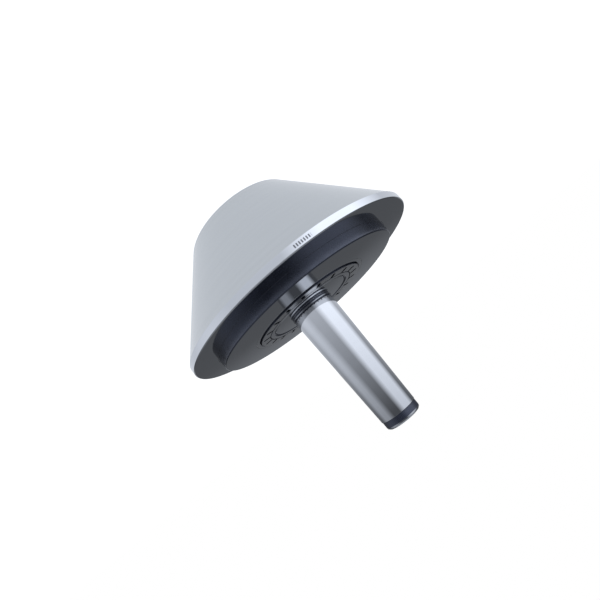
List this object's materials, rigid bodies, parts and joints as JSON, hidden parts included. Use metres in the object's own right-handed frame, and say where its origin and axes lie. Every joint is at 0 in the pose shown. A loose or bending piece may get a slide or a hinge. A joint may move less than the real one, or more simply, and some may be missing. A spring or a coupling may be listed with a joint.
{
  "type": "live center",
  "caption": "Bull-nose live center: a wide truncated steel cone that spins on bearings about a Morse taper 5 shank, for holding pipe and large bores.",
  "frame": {"origin": "centre of the nose face, the flat small end of the cone that the part stands on", "axes": "+Z along the spindle axis, from the nose face to the free end of the shank; X and Y are across, and the part is round about Z"},
  "size_m": [0.25, 0.25, 0.2436],
  "materials": {
    "head_steel": "ground bright steel, fine circumferential grinding marks, thin oil film",
    "shank_steel": "ground bright steel, polished by the tailstock socket",
    "bearing_steel": "ground and honed bearing steel",
    "cage_steel": "pressed steel, satin",
    "black_oxide_steel": "black oxide, oiled, slightly rough",
    "cover_steel": "faced steel with turning marks",
    "zinc_steel": "zinc plated, satin",
    "seal_rubber": "matt nitrile rubber"
  },
  "bodies": {
    "arbor": {"arbor": "shank_steel", "rear_bearing_inner_ring": "bearing_steel", "thrust_shaft_washer": "bearing_steel", "front_bearing_inner_ring": "bearing_steel", "lock_tab_washer": "zinc_steel", "lock_nut": "black_oxide_steel"},
    "head": {"cone_head": "head_steel", "rear_bearing_outer_ring": "bearing_steel", "thrust_housing_washer": "bearing_steel", "front_bearing_outer_ring": "bearing_steel", "front_bearing_circlip": "black_oxide_steel", "nose_cover": "cover_steel", "nose_cover_oring": "seal_rubber", "nose_cover_screw_1": "black_oxide_steel", "nose_cover_screw_2": "black_oxide_steel", "nose_cover_screw_3": "black_oxide_steel", "nose_cover_screw_4": "black_oxide_steel", "nose_cover_screw_5": "black_oxide_steel", "nose_cover_screw_6": "black_oxide_steel", "grease_nipple": "zinc_steel"},
    "rear_cage": {"rear_bearing_cage": "cage_steel", "rear_bearing_roller_01": "bearing_steel", "rear_bearing_roller_02": "bearing_steel", "rear_bearing_roller_03": "bearing_steel", "rear_bearing_roller_04": "bearing_steel", "rear_bearing_roller_05": "bearing_steel", "rear_bearing_roller_06": "bearing_steel", "rear_bearing_roller_07": "bearing_steel", "rear_bearing_roller_08": "bearing_steel", "rear_bearing_roller_09": "bearing_steel", "rear_bearing_roller_10": "bearing_steel", "rear_bearing_roller_11": "bearing_steel", "rear_bearing_roller_12": "bearing_steel", "rear_bearing_roller_13": "bearing_steel", "rear_bearing_roller_14": "bearing_steel", "rear_bearing_roller_15": "bearing_steel", "rear_bearing_roller_16": "bearing_steel", "rear_bearing_roller_17": "bearing_steel", "rear_bearing_roller_18": "bearing_steel", "rear_bearing_roller_19": "bearing_steel", "rear_bearing_roller_20": "bearing_steel"},
    "thrust_cage": {"thrust_ball_set": "bearing_steel"},
    "front_cage": {"front_bearing_cage": "cage_steel", "front_bearing_ball_1": "bearing_steel", "front_bearing_ball_2": "bearing_steel", "front_bearing_ball_3": "bearing_steel", "front_bearing_ball_4": "bearing_steel", "front_bearing_ball_5": "bearing_steel", "front_bearing_ball_6": "bearing_steel", "front_bearing_ball_7": "bearing_steel", "front_bearing_ball_8": "bearing_steel", "front_bearing_ball_9": "bearing_steel"}
  },
  "joints": [
    {"name": "head_spin", "type": "hinge", "parent": "arbor", "child": "head", "pos_m": [0, 0, 0.095], "axis": [0, 0, 1], "continuous": true},
    {"name": "rear_cage_spin", "type": "hinge", "parent": "arbor", "child": "rear_cage", "pos_m": [0, 0, 0.0951], "axis": [0, 0, 1], "continuous": true},
    {"name": "thrust_cage_spin", "type": "hinge", "parent": "arbor", "child": "thrust_cage", "pos_m": [0, 0, 0.0651], "axis": [0, 0, 1], "continuous": true},
    {"name": "front_cage_spin", "type": "hinge", "parent": "arbor", "child": "front_cage", "pos_m": [0, 0, 0.037], "axis": [0, 0, 1], "continuous": true}
  ],
  "couplings": [
    {"joint": "rear_cage_spin", "follows": "head_spin", "ratio": 0.5605},
    {"joint": "thrust_cage_spin", "follows": "head_spin", "ratio": 0.5},
    {"joint": "front_cage_spin", "follows": "head_spin", "ratio": 0.5954}
  ]
}
